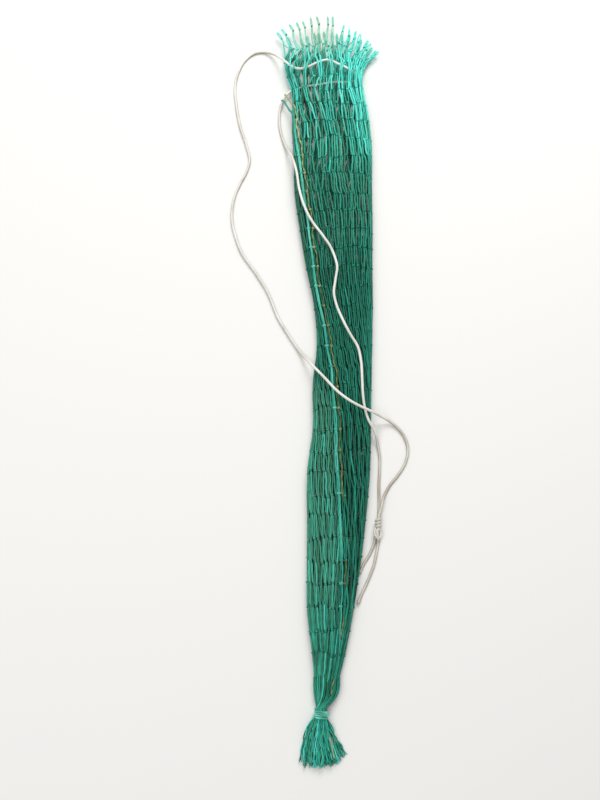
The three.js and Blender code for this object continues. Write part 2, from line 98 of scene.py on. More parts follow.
# Cross-sections of the lying net, as in the solids, every 50 mm from the neck to the tips of the mouth
# loops: left edge, right edge, crown height, lift off the floor, and droop at the left and right edge
SECTION_LEVELS = np.arange(-396, 455, 50) * MM
SECTIONS = MM * np.array([
    [-17.4, -1.2, 11.6, 0.9, 0, 0], [-21, 13.6, 13, 0, 0, 0], [-26.6, 24.3, 14, 0, 0, 0],
    [-26.7, 33, 14, 0, 0, 0], [-26.5, 39.8, 14, 0, 0, 0], [-26.3, 45.2, 14, 0, 0, 0],
    [-20, 47.2, 14, 0, 0, 0], [-19.7, 48.9, 14, 0, 0, 0], [-14.7, 51, 14, 0, 0, 0],
    [-18, 52.7, 14, 0, 0, 0], [-27.4, 53.3, 14.5, 0, 0, 0], [-34.8, 54.6, 14.5, 0, 0, 0],
    [-41, 54.8, 14.5, 0, 0, 0], [-42, 56, 14.5, 0, 0, 0], [-45.4, 53.4, 15, 0, 0, 0],
    [-50, 46.4, 15, 0, 0, 0], [-56, 50.5, 15, 0, 8, 26], [-62.6, 63.6, 15, 0, 25, 58],
])
DOME = 0.25
FAN_CURVE = 1.5
FLOOR_GAP = 0.05 * MM
UPPER_SIDE_Z = 9 * MM


def unit(vectors):
    """Vectors divided by their lengths."""
    return vectors / np.maximum(np.linalg.norm(vectors, axis=-1, keepdims=True), 1e-12)


def xyz(x, y, z):
    """Points or directions from three coordinates, spread to one shape."""
    return np.stack(np.broadcast_arrays(x, y, z), axis=-1)


def ease(x):
    """Smooth step from 0 to 1: 3 x squared minus 2 x cubed, held level outside."""
    x = np.clip(x, 0, 1)
    return x * x * (3 - 2 * x)


def above(values, start, reach):
    """Smooth step from 0 at a start to 1 a reach above it."""
    return ease((values - start) / reach)


def below(values, start, reach):
    """Smooth step from 0 at a start to 1 a reach below it."""
    return ease((start - values) / reach)


def smooth_through(places, values, at):
    """Cubic curve through the values at their places, passing each with the slope of its neighbours."""
    slopes = np.gradient(values, places, axis=0)
    before = np.clip(np.searchsorted(places, at, side="right") - 1, 0, len(places) - 2)
    step = (places[before + 1] - places[before])[..., None]
    share = (at - places[before])[..., None] / step
    rest = 1 - share
    leave = (1 + 2 * share) * rest ** 2 * values[before] + share * rest ** 2 * step * slopes[before]
    arrive = share * share * (3 - 2 * share) * values[before + 1]
    arrive += share * share * (share - 1) * step * slopes[before + 1]
    return leave + arrive


def run_along(line):
    """Length of a line from its start to each of its points."""
    steps = np.linalg.norm(np.diff(line, axis=-2), axis=-1)
    return np.concatenate([np.zeros_like(steps[..., :1]), np.cumsum(steps, axis=-1)], axis=-1)


def even_line(points, step):
    """Points at even steps along the smooth curve through a route."""
    chords = run_along(points)
    fine = smooth_through(chords, points, np.linspace(0, chords[-1], 30 * len(points)))
    run = run_along(fine)
    even = np.linspace(0, run[-1], int(round(run[-1] / step)) + 1)
    return xyz(*(np.interp(even, run, values) for values in fine.T))


def placed(name, data):
    """A new object in the scene."""
    made = bpy.data.objects.new(name, data)
    bpy.context.scene.collection.objects.link(made)
    return made


class Work:
    """Twines or cords gathered as tubes, made into one piece at the end."""

    def __init__(self):
        self.places, self.faces, self.uvs, self.tones, self.fades, self.count = [], [], [], [], [], 0

    def tubes(self, lines, radius, sides, tone=0.5, fade=0.0, closed=False, away=UP):
        """Rings carried along lines of shape (tubes, stations, 3): point + radius (cosine across + sine
        out), where across is square to the line and to the direction away, and out is square to both.
        radius, tone and fade spread over every corner. Open tubes are capped, closed ones join up."""
        lines = lines if lines.ndim == 3 else lines[None]
        tubes, stations = lines.shape[:2]
        every = (tubes, stations, sides)
        if closed:
            along = unit(np.roll(lines, -1, axis=1) - np.roll(lines, 1, axis=1))
        else:
            along = unit(np.gradient(lines, axis=1))
        across = unit(np.cross(along, away))
        out = np.cross(across, along)
        angle = TURN * np.arange(sides) / sides
        ring = np.cos(angle)[:, None] * across[:, :, None] + np.sin(angle)[:, None] * out[:, :, None]
        places = lines[:, :, None] + np.broadcast_to(radius, every)[..., None] * ring

        bands = stations if closed else stations - 1
        first = self.count + np.arange(tubes)[:, None, None] * stations * sides
        here = np.arange(bands)[:, None]
        corner = np.arange(sides)
        ahead, beside = (here + 1) % stations, (corner + 1) % sides
        quads = np.stack([
            first + here * sides + corner, first + ahead * sides + corner,
            first + ahead * sides + beside, first + here * sides + beside,
        ], axis=-1)
        run = run_along(lines)[:, :, None]
        run_here = run[:, :bands]
        run_ahead = np.concatenate([run[:, 1:], run[:, -1:] + run[:, 1:2]], axis=1)[:, :bands]
        near, far = corner / sides, (corner + 1) / sides
        spots = [(near, run_here), (near, run_ahead), (far, run_ahead), (far, run_here)]
        uv = np.stack([np.stack(np.broadcast_arrays(*spot), axis=-1) for spot in spots], axis=-2)
        self.faces += quads.reshape(-1, 4).tolist()
        self.uvs.append(uv.reshape(-1, 2))
        if not closed:
            start = first[:, 0] + np.arange(sides)
            end = first[:, 0] + (stations - 1) * sides + np.arange(sides)[::-1]
            self.faces += start.tolist() + end.tolist()
            self.uvs.append(np.zeros((2 * tubes * sides, 2)))
        self.places.append(places.reshape(-1, 3))
        self.tones.append(np.broadcast_to(tone, every).reshape(-1))
        self.fades.append(np.broadcast_to(fade, every).reshape(-1))
        self.count += tubes * stations * sides

    def piece(self, name, material, slot, *nodes):
        """One mesh of all the tubes, riding on the bag and standing for its solids."""
        mesh = bpy.data.meshes.new(name)
        mesh.from_pydata(np.concatenate(self.places), [], self.faces, shade_flat=False)
        uv = np.concatenate(self.uvs).astype(np.float32)
        mesh.uv_layers.new(name="along").uv.foreach_set("vector", uv.ravel())
        for look, values in (("tone", self.tones), ("fade", self.fades)):
            spots = mesh.attributes.new(look, "FLOAT", "POINT")
            spots.data.foreach_set("value", np.concatenate(values).astype(np.float32))
        mesh.materials.append(material)
        mesh.update()
        made = placed(name, mesh)
        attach(made, "root")
        if nodes:
            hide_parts(*nodes)
        return made


def node_maker(name):
    """A new material, a function that adds nodes, one that adds Math nodes, and one that sets the shader.
    An input that is a socket gets wired, and any other is a constant."""
    material = bpy.data.materials.new(name)
    material.use_nodes = True
    tree = material.node_tree

    def wire(node, inputs):
        for key, value in inputs.items():
            if isinstance(value, bpy.types.NodeSocket):
                tree.links.new(value, node.inputs[key])
            else:
                node.inputs[key].default_value = value

    def add(kind, inputs=None, **settings):
        node = tree.nodes.new(kind)
        for key, value in settings.items():
            setattr(node, key, value)
        wire(node, inputs or {})
        return node.outputs

    def calc(operation, first, second=0.0):
        return add("ShaderNodeMath", {0: first, 1: second}, operation=operation)[0]

    def finish(inputs):
        wire(tree.nodes["Principled BSDF"], inputs)

    return material, add, calc, finish


def yarn_looks(add, calc, shades, yarns_round, yarn_lay, yarn_shade, wear_scale, wear_detail, wear_shade):
    """Colour, stripes and wear of yarns: stripes slant with the yarns along the UV map, a noise weathers
    them, and both shift the tone attribute, which picks the colour from the shades."""
    tone = add("ShaderNodeAttribute", attribute_name="tone")["Fac"]
    uv = add("ShaderNodeSeparateXYZ", {0: add("ShaderNodeUVMap", uv_map="along")[0]})
    lay = calc("MULTIPLY", uv[1], yarn_lay)
    stripe = calc("SINE", calc("ADD", calc("MULTIPLY", uv[0], TURN * yarns_round), lay))
    where = add("ShaderNodeTexCoord")["Object"]
    wear = add("ShaderNodeTexNoise", {"Scale": wear_scale, "Detail": wear_detail, "Vector": where})["Fac"]
    weathered = calc("ADD", tone, calc("MULTIPLY", calc("SUBTRACT", wear, 0.5), wear_shade))
    ramp = add("ShaderNodeValToRGB", {"Fac": calc("ADD", weathered, calc("MULTIPLY", stripe, yarn_shade))})
    elements = ramp["Color"].node.color_ramp.elements
    for spot, (place, colour) in enumerate(shades):
        element = elements[spot] if spot < 2 else elements.new(place)
        element.position, element.color = place, (*colour, 1)
    return ramp["Color"], stripe, wear


FADED = (0.42, 0.56, 0.36, 1)
WEAR_GLOSS = 0.25


def twine_material(name, shades, turns_per_metre, roughness, lobes=3):
    """Twisted twine, worn to a changing gloss, which the fade attribute bleaches to a pale olive."""
    material, add, calc, finish = node_maker(name)
    # The yarn stripes shift the colour as well as the relief: painted shade between the yarns and painted
    # highlight along them.
    colour, stripe, wear = yarn_looks(
        add, calc, shades, yarns_round=lobes, yarn_lay=TURN * lobes * turns_per_metre, yarn_shade=0.07,
        wear_scale=160, wear_detail=3, wear_shade=0.24)
    fade = add("ShaderNodeAttribute", attribute_name="fade")["Fac"]
    faded = add("ShaderNodeMixRGB", {"Fac": fade, "Color1": colour, "Color2": FADED})[0]
    bump = add("ShaderNodeBump", {"Height": stripe, "Strength": 0.5, "Distance": 0.25 * MM})[0]
    gloss = calc("ADD", calc("MULTIPLY", wear, WEAR_GLOSS), roughness - WEAR_GLOSS / 2)
    finish({"Base Color": faded, "Normal": bump, "Roughness": gloss, "Specular IOR Level": 0.25})
    return material


def cord_material(name, shades):
    """Braided cord of fine yarns, whose stripes show in the relief alone."""
    material, add, calc, finish = node_maker(name)
    colour, stripe, _ = yarn_looks(
        add, calc, shades, yarns_round=24, yarn_lay=4000, yarn_shade=0,
        wear_scale=45, wear_detail=4, wear_shade=0.7)
    bump = add("ShaderNodeBump", {"Height": stripe, "Strength": 0.25, "Distance": 0.1 * MM})[0]
    finish({"Base Color": colour, "Normal": bump, "Roughness": 0.72, "Sheen Weight": 0.15})
    return material


def section_at(level):
    """Smooth cross-section of the net at a level along it."""
    level = np.clip(level, SECTION_LEVELS[0], SECTION_LEVELS[-1])
    return np.moveaxis(smooth_through(SECTION_LEVELS, SECTIONS, level), -1, 0)


def oval_parts(half_width, height):
    """Radius of the oval's round sides, length of a quarter turn of them, and width of the flat between."""
    radius = height / (2 + DOME)
    return radius, np.pi * radius / 2, 2 * (half_width - radius)


def oval(around, half_width, height):
    """Flat-bottomed oval with round sides and a domed crown: x, z and the outward direction in the section.
    around runs by even length from 0 at the left edge over the crown to 0.5 at the right edge and back."""
    radius, quarter, flat = oval_parts(half_width, height)
    around = around % 1
    upper = around <= 0.5
    along = 2 * np.where(upper, around, 1 - around) * (2 * quarter + flat)
    over_left, over_right = along < quarter, along > quarter + flat
    sideways = np.where(over_left, -np.cos(along / radius), 0)
    sideways = np.where(over_right, np.sin((along - quarter - flat) / radius), sideways)
    x = np.where(over_left | over_right, np.where(over_left, -1, 1) * flat / 2 + radius * sideways,
                 along - quarter - flat / 2)
    rise = np.sqrt(np.maximum(0, 1 - sideways ** 2))
    dome = 1 + DOME * (1 - (x / half_width) ** 2)
    z = np.where(upper, radius + radius * rise * dome, radius - radius * rise)
    return x, z, sideways, np.where(upper, rise, -rise)


def on_net(around, level, depth):
    """Point of the lying net, a depth inside its outer face, and the outward direction there."""
    left, right, height, lift, drop_left, drop_right = section_at(level)
    half = (right - left) / 2
    x, z, sideways, upward = oval(around, half, height)
    drop = np.where(x < 0, drop_left, drop_right) * np.abs(x / half) ** FAN_CURVE
    point = xyz((left + right) / 2 + x - depth * sideways, level - drop, lift + z - depth * upward)
    return point, xyz(sideways, 0, upward)


def around_on_top(x, level):
    """The way round the oval, from 0 to 0.5, at which the net's upper side lies over a place."""
    left, right, height = section_at(level)[:3]
    radius, quarter, flat = oval_parts((right - left) / 2, height)
    offset = x - (left + right) / 2
    past = np.clip((np.abs(offset) - flat / 2) / radius, 0, 1)
    from_edge = np.where(past > 0, radius * np.arccos(past), quarter + flat / 2 - np.abs(offset))
    along = np.where(offset < 0, from_edge, 2 * quarter + flat - from_edge)
    return along / (2 * (2 * quarter + flat))


def seam_x(level):
    """How far across the bag the lacing lies at a level along it."""
    return np.interp(-level, -LACING[:, 1], LACING[:, 0])


def seam_around(level):
    """Where round the tube the seam lies: the whole net is twisted with it."""
    return around_on_top(seam_x(level), np.clip(level, LACING[-1, 1], LACING[0, 1]))


def girth_at(level):
    """Length once round the net's oval at a level along it."""
    left, right, height = section_at(level)[:3]
    radius = height / (2 + DOME)
    return 2 * (np.pi * radius + (right - left) - 2 * radius)


def net_top(x, y):
    """Height of the outer face of the net's upper side over a place."""
    return on_net(around_on_top(x, y), y, 0)[0][..., 2]


def shade_at(points):
    """Tone of the twine over the bag: brightest at the mouth and along the upper right edge, deeper towards
    the middle and under the upper seam, and lighter on the left of the seam than on its right in the tail
    half. The brightness at the mouth and in the upper part is painted light, and the difference across the
    seam in the tail half is painted light and shade."""
    x, y = points[..., 0], points[..., 1]
    left, right = section_at(y)[:2]
    side = (x - (left + right) / 2) / ((right - left) / 2)
    seam = seam_x(y)
    tail = below(y, -0.02, 0.1)
    # Painted light: brighter at the mouth and in the upper part, where the light falls.
    mouth = 0.41 * above(y, 0.28, 0.12)
    right_edge = 0.21 * above(y, 0.2, 0.1) * above(side, 0.35, 0.4)
    upper = 0.16 * above(y, 0.19, 0.08)
    middle = -0.08 * below(y, 0.16, 0.08) - 0.03 * below(y, -0.24, 0.06)
    # Painted light and shade: lighter on the left of the seam and darker on its right in the tail half.
    left_of_seam = 0.17 * tail * below(x, seam, 0.012)
    right_of_seam = -0.08 * tail * above(x, seam, 0.01) * above(y, -0.34, 0.06)
    mouth_left = (0.2 * above(y, 0.385, 0.02) - 0.13) * above(y, 0.3, 0.05) * below(side, -0.15, 0.4)
    gathered = 0.06 * below(y, -0.35, 0.03)
    under_seam = -0.13 * above(y, 0.08, 0.06) * below(y, 0.31, 0.03) * below(x, seam + 0.003, 0.004)
    along_bag = 0.4 + mouth + right_edge + upper + middle
    return along_bag + left_of_seam + right_of_seam + mouth_left + gathered + under_seam


def fade_at(points):
    """How far the twine is bleached: most at the tips of the mouth loops from near the left to the middle,
    a little on the left of the seam in the tail half."""
    x, y = points[..., 0], points[..., 1]
    mouth = 0.6 * above(y, 0.385, 0.045) * below(x, 0.03, 0.03) * above(x, -0.056, 0.018)
    tail_left = 0.08 * below(y, -0.02, 0.05) * below(x, seam_x(y), 0.012) * (1 - 0.6 * below(y, -0.26, 0.06))
    return 0.01 + mouth + tail_left


def knot_shade_and_pinch(points):
    """How much the twine darkens, as painted shade, and thins where it runs into the knots: most on the lower
    left, least elsewhere.
    """
    x, y = points[..., 0], points[..., 1]
    return 0.04 + 0.12 * below(y, -0.03, 0.08) * below(x, seam_x(y), 0.01) * above(y, -0.37, 0.03)


# Partings on the upper side near the mouth, where strands lie apart: x and y of both ends in millimetres
PARTINGS = np.array([[[11, 310], [28, 240]], [[29, 326], [40, 282]], [[-12, 250], [-8, 215]]]) * MM
PARTING_HALF = 1.6 * MM
PARTING_REACH = 9 * MM
PARTING_END = 8 * MM


def parted(points):
    """How far the partings push the strands of the upper side to the right, or with a minus to the left."""
    x, y, z = np.moveaxis(points, -1, 0)[..., None]
    (x0, y0), (x1, y1) = PARTINGS[:, 0].T, PARTINGS[:, 1].T
    beside = x - x0 - (x1 - x0) * (y - y0) / (y1 - y0)
    along = below(y, y0 + PARTING_END, 2 * PARTING_END) * above(y, y1 - PARTING_END, 2 * PARTING_END)
    push = PARTING_HALF * np.sign(beside) * ease(1 - np.abs(beside) / PARTING_REACH) * along
    return (push * (z > UPPER_SIDE_Z)).sum(axis=-1)


# Camera at the photograph's angle: high over the tail, looking towards the mouth
camera = placed("camera", bpy.data.cameras.new("camera"))
camera.data.lens = 40
camera.data.sensor_width = 36
camera.location = (-0.0335, -0.3423, 0.9793)
camera.rotation_euler = (math.radians(16), 0, 0)
bpy.context.scene.camera = camera

# Drawstring: braided cord in two halves that meet where it dives through the net at the mouth
CORD_STEP = 0.75 * MM
CORD_SIDES = 14
PATH_EVERY = 4
BRAID_STRANDS = 4
BRAID_LENGTH = 3.0 * MM
BRAID_DEPTH = 0.15
BRAID_LEVEL = 0.7
FRAY_LENGTH = 10 * MM
FRAY_SWELL = 0.4
TIP_LENGTH = 1.6 * MM
TIP_LEAST = 0.05
cord_ivory = cord_material("braided_ivory_cord", [(0.1, (0.36, 0.295, 0.205)), (0.75, (0.87, 0.87, 0.82))])


def braid(line):
    """Radius of a braided cord, with diamonds between two families of spiral grooves."""
    run = run_along(line)[:, None]
    strand = BRAID_STRANDS * np.arange(CORD_SIDES)[None] / CORD_SIDES
    one_way = np.sin(np.pi * (strand + run / BRAID_LENGTH))
    other_way = np.sin(np.pi * (strand - run / BRAID_LENGTH))
    return CORD_R * (1 + BRAID_DEPTH * (np.sqrt(np.abs(one_way * other_way)) - BRAID_LEVEL))


def drawstring_half(name, route, nodes, frayed):
    """Half of the drawstring from the mouth to its free end. A frayed end swells, closes in a blunt tip and
    still lies on the floor. The cord is darker in the grooves of the braid, as painted shade, and darker where
    it lies low, with painted shade most on its lower flanks, and darker in the tail half."""
    line = even_line(np.array(route) * MM, CORD_STEP)
    radius = braid(line)
    from_end = (run_along(line)[-1] - run_along(line))[:, None]
    if frayed:
        radius = radius * (1 + FRAY_SWELL * ease(1 - from_end / FRAY_LENGTH))
        radius = radius * np.sqrt(np.clip(from_end / TIP_LENGTH, TIP_LEAST, 1))
    line[:, 2] = np.maximum(line[:, 2], radius.max(axis=1) + FLOOR_GAP)
    # Painted shade: darker tone in the grooves of the braid, and on the lower flanks where the cord lies low.
    groove = np.clip(braid(line) / CORD_R - 1, -BRAID_DEPTH, BRAID_DEPTH)
    tail = below(line[:, 1, None], 0, 0.15)
    on_floor = below(line[:, 2, None], 9 * MM, 5 * MM)
    flank_shade = np.clip(1 - np.sin(TURN * np.arange(CORD_SIDES) / CORD_SIDES), 0, 1) ** 1.2
    flank_shade_and_darkening = 0.05 * tail + on_floor * (0.02 + 0.45 * flank_shade + 0.2 * tail)
    work = Work()
    work.tubes(line, radius, CORD_SIDES, tone=0.7 + 2.6 * groove - flank_shade_and_darkening)
    return work.piece(name, cord_ivory, "cord_ivory", *nodes), line


outer_route = MOUTH_UPPER[::-1] + OUTER_ARM[::-1] + OUTER_IN_KNOT + END_B
inner_route = MOUTH_LOWER + INNER_ARM + INNER_IN_KNOT + END_A
outer_cord, outer_line = drawstring_half(
    "drawstring_outer_half", outer_route, ["drawstring_outer", "drawstring_mouth", "drawstring_end_b"], True)
inner_cord, inner_line = drawstring_half(
    "drawstring_inner_half", inner_route, ["drawstring_inner", "drawstring_end_a"], False)

# The knot of the drawstring: a few close turns round the two arms, then a fuller bight crossed over itself
KNOT_AXIS_X, KNOT_AXIS_Z = 52.4, 5.0
KNOT_START_Y = -199.2
KNOT_TURN_R = 2.5
KNOT_TURNS = 2.5
KNOT_TURN_POINTS = 26
KNOT_PITCH = 3.3
KNOT_BIGHT = [
    [48.6, -210.4, 6.2], [48.0, -213.8, 7.0], [49.2, -217.8, 7.2], [52, -219.9, 6.4], [54.6, -218, 5.2],
    [54.9, -214, 5], [53, -210.6, 6.6], [50.8, -211.6, 8.2], [50.6, -215.4, 8.4], [51.6, -219.4, 6.6],
    [51.8, -222, 4.6],
]
wound = np.linspace(0, KNOT_TURNS, KNOT_TURN_POINTS)
close_x = KNOT_AXIS_X + KNOT_TURN_R * np.cos(TURN * wound)
close_z = KNOT_AXIS_Z + KNOT_TURN_R * np.sin(TURN * wound)
close_turns = xyz(close_x, KNOT_START_Y - KNOT_PITCH * wound, close_z)
knot_line = even_line(np.concatenate([close_turns, KNOT_BIGHT]) * MM, CORD_STEP)
knot_away = unit(knot_line - xyz(KNOT_AXIS_X * MM, 0, KNOT_AXIS_Z * MM) - knot_line * [0, 1, 0])
knot_work = Work()
knot_work.tubes(knot_line, braid(knot_line), CORD_SIDES, tone=0.46, away=knot_away)
drawstring_knot = knot_work.piece("drawstring_knot_turns", cord_ivory, "cord_ivory", "drawstring_knot")

run_along(outer_line)[-1]
run_along(inner_line)[-1]

# Twine finishes
net_green = twine_material("net_twine_green", [
    (0.0, (0.001, 0.06, 0.038)), (0.3, (0.003, 0.145, 0.09)), (0.55, (0.014, 0.31, 0.208)),
    (0.78, (0.04, 0.54, 0.42)), (1.0, (0.12, 0.82, 0.71)),
], turns_per_metre=50, roughness=0.455, lobes=2)
selvedge_turquoise = twine_material("selvedge_twine_turquoise", [
    (0.0, (0.006, 0.11, 0.078)), (0.5, (0.042, 0.375, 0.272)), (1.0, (0.19, 0.79, 0.66)),
], turns_per_metre=60, roughness=0.425, lobes=2)
lacing_ochre = twine_material("lacing_twine_ochre", [
    (0.0, (0.03, 0.04, 0.012)), (0.45, (0.115, 0.15, 0.05)), (0.7, (0.27, 0.31, 0.115)),
    (1.0, (0.62, 0.68, 0.36)),
], turns_per_metre=200, roughness=0.555)

# Net: rows of knots from the mouth down to the tail, and meshes round the tube
ROWS = 34
MESHES = 32
ROW_MARKS = [0, 1, 5, 22, 33]
ROW_MARK_LEVELS = np.array([438, 407, 321, -99.7, -365.5]) * MM
KNOT_DEPTH = 0.5 * MM
FLOOR_KNOT_DEPTH = 1.5 * MM
NET_LAYERS = 3
LAYER_STEP = 1.7 * MM
ROOMY, CROWDED = 2.9 * MM, 1.5 * MM

# How the knots lie off their even places. Lists are for the first rows at the mouth.
ROW_SWING = 2.2 * MM
STRAY_ALONG = 2.0 * MM
STRAY_ROUND = 0.1
MOUTH_TO_RIGHT = 0.045
LEAN_OUT = [0, 0.7, 0.3]
UNDERSIDE_BUNCH = [0.16, 0.1]
LOOSENESS = [0.5, 1.5]
LIP_BACK = np.array([18, 7]) * MM
row = np.arange(ROWS)[:, None]
columns = np.arange(MESHES)
each_knot = (ROWS, MESHES)


def by_row(first_rows, other_rows):
    """A value for each row of knots: its own for the first rows, the same for all others."""
    return np.append(first_rows, np.full(ROWS - len(first_rows), other_rows))[:, None]


def row_wave(waves, around):
    """A sine wave round the tube with its own start in each row of knots."""
    return np.sin(TURN * (waves * around + rng.uniform(0, 1, (ROWS, 1))))


# Round the tube: turned with the seam, leaning in groups, the underside in the gaps of the upper side
row_level = np.interp(row, ROW_MARKS, ROW_MARK_LEVELS)
even_around = (columns + 0.5 * (row % 2)) / MESHES
loose = 1 + 0.6 * above(row_level, 0.29, 0.08)
looser = loose + above(row_level, 0.38, 0.06) + 0.9 * above(row_level, 0.18, 0.06) * (row > 1)
stray_round = looser * rng.uniform(-STRAY_ROUND, STRAY_ROUND, each_knot)
seam_columns = MESHES * seam_around(row_level)
knot_column = columns + 0.5 * (row % 2) + seam_columns + stray_round
from_left = knot_column / MESHES % 1
underneath = ease(np.minimum(from_left - 0.5, 1 - from_left) / 0.04)
to_gap = np.where(row < 2, (-2 * seam_columns) % 1 - 0.5, (-2 * seam_columns - 0.5) % 0.5 - 0.25)
lean = 0.1 + 0.25 * above(row_level, 0.13, 0.08)
sway = (row_wave(1.7, from_left) + 0.5 * row_wave(4.3, from_left)) * (1 - underneath)
lean_out = by_row(LEAN_OUT, 0) * below(from_left, 0.28, 0.24) * (1 - underneath)
knot_around = (knot_column + to_gap * underneath + lean * sway + lean_out) / MESHES
knot_around += MOUTH_TO_RIGHT * above(row_level, 0.2, 0.18) * np.sin(TURN * knot_around)
knot_around -= by_row(UNDERSIDE_BUNCH, 0) * underneath * (knot_around % 1 - 0.5)
knot_around += parted(on_net(knot_around, row_level, 0)[0]) / girth_at(row_level)

# Along the tube: wavy rows, more ragged past the seam in the tail half, the lower lip of the mouth set back
past_seam = even_around % 1 < 0.27
ragged = 1 + 1.6 * past_seam * below(row_level, -0.02, 0.08) * above(row_level, -0.33, 0.05)
swing = row_wave(2, even_around) + 0.5 * row_wave(5, even_around)
stray = loose * ragged * rng.uniform(-STRAY_ALONG, STRAY_ALONG, each_knot)
knot_level = row_level + by_row(LOOSENESS, 1) * (ROW_SWING * swing + stray)
knot_level -= by_row(LIP_BACK, 0) * (underneath * above(from_left, 0.66, 0.14))

# Into the tube: in layers where the strands are too crowded to lie side by side
upward = on_net(knot_around, knot_level, 0)[1][..., 2]
strand_room = girth_at(row_level) / (2 * MESHES)
crowding = np.clip((ROOMY - strand_room) / (ROOMY - CROWDED), 0, 1)
knot_layer = crowding * rng.integers(0, NET_LAYERS, each_knot) * upward ** 2
knot_depth = np.where(upward < -0.2, FLOOR_KNOT_DEPTH, KNOT_DEPTH) + LAYER_STEP * knot_layer
knot_place, knot_out = on_net(knot_around, knot_level, knot_depth)

# Strands: two zigzag lines of twine for each mesh round the tube, from the mouth to the tie. At each knot
# one lies left of the other, and between knots they cross over to the next column.
TWINE_R = 1.0 * MM
TWINE_SIDES = 6
UNDERSIDE_FULLNESS = 0.25
STRANDS = 2 * MESHES
BAR_SHARES = np.array([0, 0.1, 0.35, 0.65, 0.9])
BAR_STEPS = len(BAR_SHARES)
SIDE_BY_SIDE = 0.4 * MM
APART_LEVELS = np.array([-365, -250, -120, -60, 0, 150, 250, 330, 410, 438]) * MM
APART_SHARES = [0.17, 0.11, 0.11, 0.15, 0.19, 0.17, 0.17, 0.13, 0.11, 0.08]
PINCH_LEVELS = np.array([-365, -60, 0, 150, 200, 300, 340]) * MM
PINCH_SHARES = [0.9, 0.9, 0.5, 0.5, 0.8, 0.8, 0.4]
PINCH_POWER = 4
FINGER_POWER = 3
SUNK_DEPTH = 0.9 * MM
even_row = row % 2 == 0
strand_column = np.stack([np.broadcast_to(columns, each_knot), np.where(even_row, columns + 1, columns)])
wrapped = strand_column % MESHES
apart = np.interp(row_level, APART_LEVELS, APART_SHARES) / MESHES
apart = np.maximum(apart, SIDE_BY_SIDE / girth_at(row_level))
to_side = np.where(even_row, apart, -apart)
strand_around = knot_around[row, wrapped] + strand_column // MESHES + np.stack([to_side, -to_side])


def between(values, share=BAR_SHARES):
    """Values spread along each bar from one knot to the next."""
    return values[:, :-1, :, None] * (1 - share) + values[:, 1:, :, None] * share


def end_to_end(values):
    """Values along the bars of the net, set end to end along their strands."""
    return np.moveaxis(values, 2, 1).reshape(STRANDS, -1, *values.shape[4:])


# Bars: crossing over close to the knots where the net is pinched, a little bent, one sunk under the other
each_bar = (2, ROWS - 1, MESHES, 1)
bow = np.sin(np.pi * BAR_SHARES)
bend = np.sin(TURN * BAR_SHARES)
lower_right = past_seam[:-1] * below(row_level[:-1], -0.02, 0.08)
pinch = (np.interp(row_level[:-1], PINCH_LEVELS, PINCH_SHARES) * (1 - lower_right))[..., None]
from_middle = 2 * BAR_SHARES - 1
level_out = 0.5 + 0.5 * np.sign(from_middle) * np.abs(from_middle) ** PINCH_POWER
crossing = pinch * level_out + (1 - pinch) * BAR_SHARES
crossing[0] = BAR_SHARES ** FINGER_POWER
under = rng.integers(0, 2, (ROWS - 1, MESHES, 1))
sunk = np.stack([under, 1 - under])
bent = bow * rng.uniform(-0.1, 0.1, each_bar) + bend * rng.uniform(-0.07, 0.07, each_bar)
bar_around = between(strand_around, crossing) + bent / MESHES
bar_depth = between(knot_depth[row, wrapped])
bar_depth += bow * (SUNK_DEPTH * sunk + rng.uniform(-0.3, 0.3, each_bar) * MM)
bar_depth = np.maximum(bar_depth, 1.2 * (1 + UNDERSIDE_FULLNESS) * TWINE_R + FLOOR_GAP)
bar_points, bar_out = on_net(bar_around, between(knot_level[row, wrapped]), bar_depth)
strands = end_to_end(bar_points)
inner_side = end_to_end(np.clip(-bar_out[..., 2], 0, 1))
layer_along = end_to_end(between(knot_layer[row, wrapped]))

# Into the tie: every strand runs on from its last knot and turns into its own place in the round neck
NECK = np.array([-11.6, -395.2, 6.9]) * MM
NECK_R = 5.2 * MM
NECK_TWIST = 0.8
GATHER_STATIONS = 9
GATHER_CURVE = 3.2
IN_TIE_Y = np.array([-4, -8]) * MM
last_knot = knot_place[-1][wrapped[:, -1]].reshape(STRANDS, 1, 3)
neck_turn = np.pi - TURN * strand_around[:, -1].reshape(-1) + NECK_TWIST
neck_radius = NECK_R * np.sqrt(rng.uniform(0.3, 1, STRANDS))
neck_place = NECK + xyz(neck_radius * np.cos(neck_turn), 0, neck_radius * np.sin(neck_turn))
into = np.linspace(0, 1, GATHER_STATIONS)
gather = last_knot + (neck_place[:, None] - last_knot) * xyz(into ** GATHER_CURVE, into, ease(into))
strands = np.concatenate([strands, gather, neck_place[:, None] + xyz(0, IN_TIE_Y, 0)], axis=1)
added_stations = ((0, 0), (0, GATHER_STATIONS + len(IN_TIE_Y)))
inner_side = np.pad(inner_side, added_stations, mode="edge")
layer_along = np.pad(layer_along, added_stations, mode="edge")

# Some front strands and their knots pass over the drawstring where it crosses the mouth
OVER_REACH = 15 * MM
OVER_GAP = 0.2 * MM
BUNCH_X = 28 * MM
MOUTH_CORD_LENGTH = 100 * MM
mouth_cord = outer_line[:int(MOUTH_CORD_LENGTH / CORD_STEP):PATH_EVERY]


def lifted(points, over):
    """Heights raised over the mouth stretch of the drawstring: full over the cord, none past the reach."""
    gap = np.linalg.norm(points[..., None, :2] - mouth_cord[:, :2], axis=-1)
    weight = ease(1.25 - 1.25 * gap.min(axis=-1) / OVER_REACH)
    target = mouth_cord[gap.argmin(axis=-1), 2] + CORD_R + TWINE_R + OVER_GAP
    raised = points[..., 2] + weight * np.maximum(0, target - points[..., 2])
    return np.where(over & (points[..., 2] > UPPER_SIDE_Z), raised, points[..., 2])


def drawn_in(points):
    """Sideways places with the left edge pulled in a few millimetres at the mouth's corner and below it."""
    x, y = points[..., 0], points[..., 1]
    corner = 3 * MM * above(y, 0.385, 0.03)
    waist = 5 * MM * ease(1 - np.abs(y - 0.33) / 0.04)
    return x + (corner + waist) * below(x, -0.025, 0.03)


